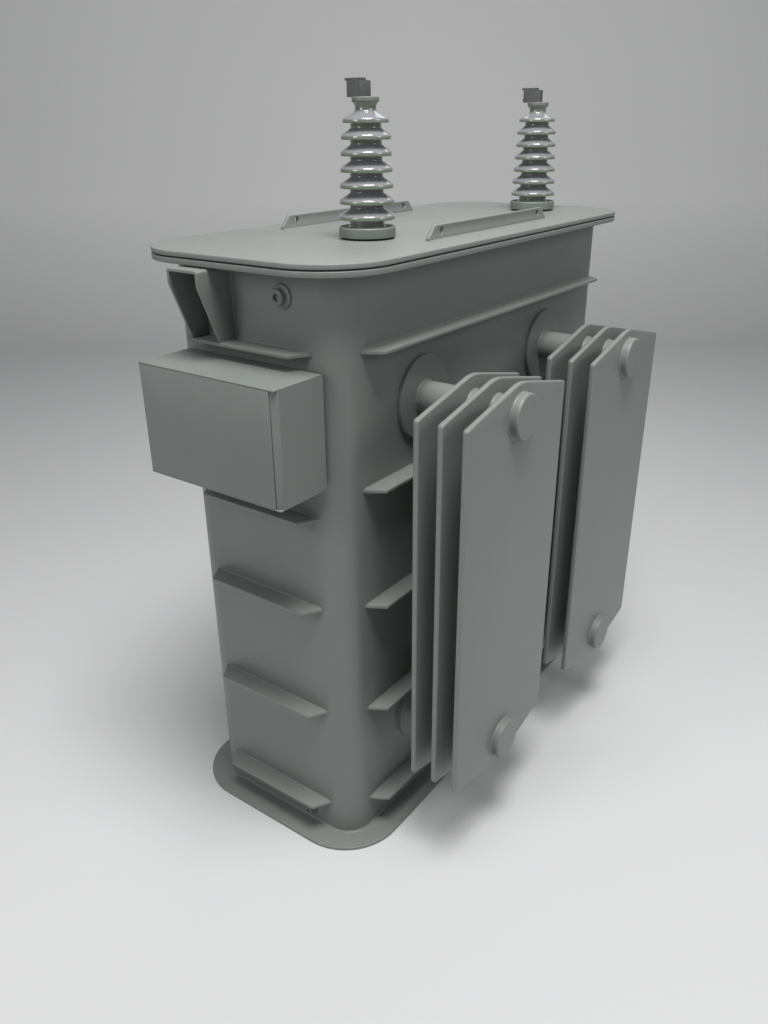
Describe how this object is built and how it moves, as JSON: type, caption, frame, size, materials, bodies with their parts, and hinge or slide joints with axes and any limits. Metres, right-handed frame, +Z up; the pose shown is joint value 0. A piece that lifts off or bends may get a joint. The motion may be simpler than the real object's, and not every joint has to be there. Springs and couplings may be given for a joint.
{
  "type": "single-phase oil-filled transformer",
  "caption": "Ribbed steel tank with a bolted cover, high-voltage bushings, side radiators and a hinged low-voltage control box; core and windings inside.",
  "frame": {"origin": "centre of the base plate's underside", "axes": "+Z up; the narrow wall with the control box faces -Y; the radiators are on the +X side"},
  "size_m": [0.959, 1.751, 2.08],
  "materials": {
    "tank_paint": "satin sprayed grey paint over soft-edged welds",
    "box_paint": "satin sprayed grey paint",
    "radiator_paint": "satin sprayed grey paint",
    "seal_rubber": "matt black",
    "glaze": "grey glaze, glossy",
    "clamp_grey": "dark grey, slightly worn",
    "zinc": "dull zinc plate",
    "tinned_copper": "tinned copper",
    "copper": "enamelled copper",
    "core_steel": "varnished laminations",
    "pressboard": "oil-soaked pressboard",
    "paper_wrap": "crepe-paper insulation",
    "primer": "red-brown primer",
    "resin": "dark moulded resin",
    "nylon": "black nylon",
    "rail_plastic": "pale grey mouldings on a rail"
  },
  "bodies": {
    "transformer": {"barrier_cylinders": "pressboard", "base_plate": "tank_paint", "box_housing": "box_paint", "box_mounting_frame": "box_paint", "bushing_caps": "tank_paint", "bushing_flanges": "tank_paint", "bushing_gaskets": "seal_rubber", "cable_glands": "nylon", "core": "core_steel", "cover_bolts": "zinc", "cover_gasket": "seal_rubber", "cover_plate": "tank_paint", "door_seal": "seal_rubber", "drain_boss": "tank_paint", "earth_stud": "zinc", "end_ribs": "tank_paint", "filler_boss": "tank_paint", "gland_plate": "box_paint", "header_caps": "radiator_paint", "header_pipes": "radiator_paint", "hinge_leaves": "box_paint", "hinge_pins": "zinc", "hv_insulator_far": "glaze", "hv_insulator_near": "glaze", "hv_leads": "paper_wrap", "hv_stem_far": "tinned_copper", "hv_stem_near": "tinned_copper", "hv_windings": "copper", "lifting_bar_left": "tank_paint", "lifting_bar_right": "tank_paint", "lifting_bracket_front": "tank_paint", "lifting_bracket_rear": "tank_paint", "lv_bushings": "resin", "lv_leads": "copper", "lv_studs": "tinned_copper", "lv_windings": "copper", "radiator_far_panel_inner": "radiator_paint", "radiator_far_panel_middle": "radiator_paint", "radiator_far_panel_outer": "radiator_paint", "radiator_near_panel_inner": "radiator_paint", "radiator_near_panel_middle": "radiator_paint", "radiator_near_panel_outer": "radiator_paint", "radiator_pads": "radiator_paint", "rim_flange": "tank_paint", "side_ribs": "tank_paint", "tank_shell": "tank_paint", "terminal_body_far": "clamp_grey", "terminal_body_near": "clamp_grey", "terminal_bolts": "clamp_grey", "terminal_jaw_far": "clamp_grey", "terminal_jaw_near": "clamp_grey", "terminal_rail": "rail_plastic", "tie_rods": "primer", "winding_rings": "pressboard", "yoke_clamps": "primer"},
    "door": {"box_door": "box_paint"},
    "filler_washer_carrier": {"filler_washer": "seal_rubber"},
    "filler_screw": {"filler_plug": "zinc"},
    "drain_washer_carrier": {"drain_washer": "seal_rubber"},
    "drain_screw": {"drain_plug": "zinc"}
  },
  "joints": [
    {"name": "door_hinge", "type": "hinge", "parent": "transformer", "child": "door", "pos_m": [-0.217, -0.8979, 1.301], "axis": [0, 0, -1], "range_deg": [0, 110]},
    {"name": "filler_lift", "type": "slide", "parent": "transformer", "child": "filler_washer_carrier", "axis": [0, -1, 0], "range_m": [0, 0.00906]},
    {"name": "filler_turn", "type": "hinge", "parent": "filler_washer_carrier", "child": "filler_screw", "pos_m": [0.117, -0.732, 1.612], "axis": [0, -1, 0], "range_deg": [0, 1800]},
    {"name": "drain_lift", "type": "slide", "parent": "transformer", "child": "drain_washer_carrier", "axis": [0, -1, 0], "range_m": [0, 0.00906]},
    {"name": "drain_turn", "type": "hinge", "parent": "drain_washer_carrier", "child": "drain_screw", "pos_m": [0.122, -0.732, 0.053], "axis": [0, -1, 0], "range_deg": [0, 1800]}
  ],
  "couplings": [
    {"joint": "filler_turn", "follows": "filler_lift", "rad_per_m": 3463.7},
    {"joint": "drain_turn", "follows": "drain_lift", "rad_per_m": 3463.7}
  ]
}
